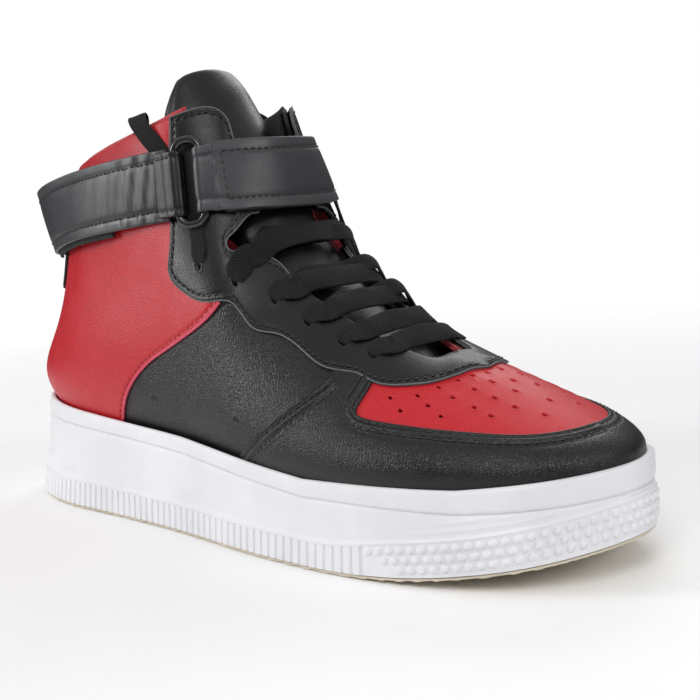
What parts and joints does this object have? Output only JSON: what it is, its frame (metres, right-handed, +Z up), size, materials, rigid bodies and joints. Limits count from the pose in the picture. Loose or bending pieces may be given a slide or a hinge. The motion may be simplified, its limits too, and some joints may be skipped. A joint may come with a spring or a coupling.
{
  "type": "basketball high top shoe",
  "caption": "High-top basketball shoe with a laced leather upper, padded tongue and collar, rubber cup sole and a hook-and-loop ankle strap doubled back through a wire loop.",
  "frame": {"origin": "on the ground under the middle of the sole's length, where the tread's flat part rests", "axes": "+X to the toe, +Y to the outer (lateral) side, +Z up"},
  "size_m": [0.2994, 0.1089, 0.1765],
  "materials": {
    "outsole_tread": "moulded, fine herringbone",
    "cupsole": "moulded, pebbled matt wall",
    "foam_wedge": "closed-cell foam",
    "strobel_board": "non-woven board",
    "sockliner": "knit cover on foam",
    "heel_panel_medial": "grained, semi-gloss",
    "heel_panel_lateral": "grained, semi-gloss",
    "quarter_medial": "grained, semi-gloss",
    "quarter_lateral": "grained, semi-gloss",
    "toe_wrap": "grained, semi-gloss",
    "toe_box": "fine grain, semi-gloss",
    "eyestay": "grained, semi-gloss",
    "foam_backing": "foam-backed textile",
    "heel_counter": "thermoformed board",
    "toe_puff": "stiffened sheet",
    "collar_foam": "soft foam",
    "collar_lining": "brushed knit",
    "heel_lining": "brushed knit",
    "vamp_lining": "brushed knit",
    "tongue_lower": "smooth, semi-gloss",
    "tongue_lower_pad": "brushed knit on foam",
    "tongue_upper": "smooth, padded",
    "tongue_foam": "soft foam",
    "tongue_lining": "brushed knit",
    "heel_tab": "woven webbing",
    "heel_seam_strip": "grained, semi-gloss",
    "strap_belt": "brushed matt leather",
    "belt_backing": "brushed textile",
    "strap_loop": "gloss black coating",
    "belt_end_fold": "brushed matt leather",
    "front_fold": "brushed matt leather",
    "strap_flap": "brushed matt leather",
    "hook_patch": "hook tape",
    "loop_patch": "loop tape",
    "lace": "flat woven",
    "lace_ends": "flat woven",
    "aglets": "gloss film"
  },
  "bodies": {
    "shoe": {"outsole_tread": "outsole_tread", "cupsole": "cupsole", "foam_wedge": "foam_wedge", "strobel_board": "strobel_board", "sockliner": "sockliner", "heel_panel_medial": "heel_panel_medial", "heel_panel_lateral": "heel_panel_lateral", "quarter_medial": "quarter_medial", "quarter_lateral": "quarter_lateral", "toe_wrap": "toe_wrap", "toe_box": "toe_box", "eyestay": "eyestay", "foam_backing": "foam_backing", "heel_counter": "heel_counter", "toe_puff": "toe_puff", "collar_foam": "collar_foam", "collar_lining": "collar_lining", "heel_lining": "heel_lining", "vamp_lining": "vamp_lining", "tongue_lower": "tongue_lower", "tongue_lower_pad": "tongue_lower_pad", "heel_tab": "heel_tab", "heel_seam_strip": "heel_seam_strip", "strap_belt": "strap_belt", "belt_backing": "belt_backing", "belt_end_fold": "belt_end_fold", "front_fold": "front_fold", "loop_patch": "loop_patch", "lace": "lace", "lace_ends": "lace_ends", "aglets": "aglets"},
    "loop": {"strap_loop": "strap_loop"},
    "flap": {"strap_flap": "strap_flap", "hook_patch": "hook_patch"},
    "tongue_top": {"tongue_upper": "tongue_upper", "tongue_foam": "tongue_foam", "tongue_lining": "tongue_lining"}
  },
  "joints": [
    {"name": "loop_swivel", "type": "hinge", "parent": "shoe", "child": "loop", "pos_m": [-0.018, -0.0366, 0.1323], "axis": [-0.1435, 0.098, 0.9848], "range_deg": [-3, 3]},
    {"name": "strap_peel", "type": "hinge", "parent": "shoe", "child": "flap", "pos_m": [-0.00289, -0.03054, 0.13443], "axis": [0.247, -0.1293, -0.9604], "range_deg": [0, 110]},
    {"name": "tongue_flex", "type": "hinge", "parent": "shoe", "child": "tongue_top", "pos_m": [0.0019, 0, 0.122], "axis": [0, 1, 0], "range_deg": [-12, 8]}
  ]
}
